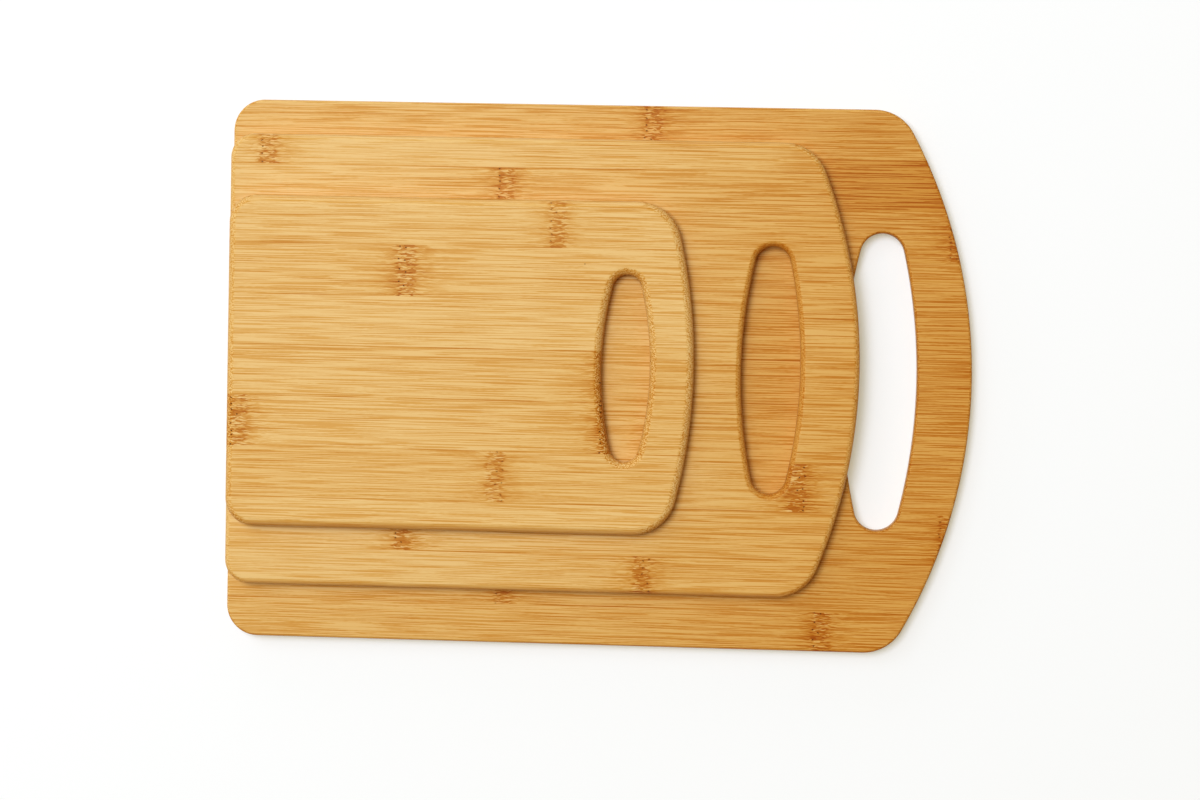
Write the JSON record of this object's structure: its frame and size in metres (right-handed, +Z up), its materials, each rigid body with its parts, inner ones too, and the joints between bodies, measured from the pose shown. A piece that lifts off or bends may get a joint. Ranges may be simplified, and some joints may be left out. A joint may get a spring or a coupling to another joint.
{
  "type": "cutting board set",
  "caption": "Nested set of flat laminated bamboo cutting boards, each with a straight end, a bowed grip end and an oval finger slot, stacked by size for chopping and serving.",
  "frame": {"origin": "middle of the large board's underside", "axes": "+X along the boards towards the bowed grip end, +Y across them, +Z up out of the stack"},
  "size_m": [0.33, 0.24, 0.0285],
  "materials": {
    "large_bamboo": "satin",
    "medium_bamboo": "satin",
    "small_bamboo": "satin"
  },
  "bodies": {
    "large_board": {"large_face_strip_01": "large_bamboo", "large_face_strip_02": "large_bamboo", "large_face_strip_03": "large_bamboo", "large_face_strip_04": "large_bamboo", "large_face_strip_05": "large_bamboo", "large_face_strip_06": "large_bamboo", "large_face_strip_07": "large_bamboo", "large_face_strip_08": "large_bamboo", "large_face_strip_09": "large_bamboo", "large_face_strip_10": "large_bamboo", "large_face_strip_11": "large_bamboo", "large_core_slats": "large_bamboo", "large_back_strip_01": "large_bamboo", "large_back_strip_02": "large_bamboo", "large_back_strip_03": "large_bamboo", "large_back_strip_04": "large_bamboo", "large_back_strip_05": "large_bamboo", "large_back_strip_06": "large_bamboo", "large_back_strip_07": "large_bamboo", "large_back_strip_08": "large_bamboo", "large_back_strip_09": "large_bamboo", "large_back_strip_10": "large_bamboo", "large_back_strip_11": "large_bamboo"},
    "medium_board": {"medium_face_strip_01": "medium_bamboo", "medium_face_strip_02": "medium_bamboo", "medium_face_strip_03": "medium_bamboo", "medium_face_strip_04": "medium_bamboo", "medium_face_strip_05": "medium_bamboo", "medium_face_strip_06": "medium_bamboo", "medium_face_strip_07": "medium_bamboo", "medium_face_strip_08": "medium_bamboo", "medium_face_strip_09": "medium_bamboo", "medium_face_strip_10": "medium_bamboo", "medium_core_slats": "medium_bamboo", "medium_back_strip_01": "medium_bamboo", "medium_back_strip_02": "medium_bamboo", "medium_back_strip_03": "medium_bamboo", "medium_back_strip_04": "medium_bamboo", "medium_back_strip_05": "medium_bamboo", "medium_back_strip_06": "medium_bamboo", "medium_back_strip_07": "medium_bamboo", "medium_back_strip_08": "medium_bamboo", "medium_back_strip_09": "medium_bamboo", "medium_back_strip_10": "medium_bamboo"},
    "small_board": {"small_face_strip_01": "small_bamboo", "small_face_strip_02": "small_bamboo", "small_face_strip_03": "small_bamboo", "small_face_strip_04": "small_bamboo", "small_face_strip_05": "small_bamboo", "small_face_strip_06": "small_bamboo", "small_face_strip_07": "small_bamboo", "small_core_slats": "small_bamboo", "small_back_strip_01": "small_bamboo", "small_back_strip_02": "small_bamboo", "small_back_strip_03": "small_bamboo", "small_back_strip_04": "small_bamboo", "small_back_strip_05": "small_bamboo", "small_back_strip_06": "small_bamboo", "small_back_strip_07": "small_bamboo"}
  },
  "joints": [
    {"name": "medium_lift", "type": "slide", "parent": "large_board", "child": "medium_board", "axis": [0, 0, 1], "range_m": [0, 0.12]},
    {"name": "small_lift", "type": "slide", "parent": "medium_board", "child": "small_board", "axis": [0, 0, 1], "range_m": [0, 0.12]}
  ]
}
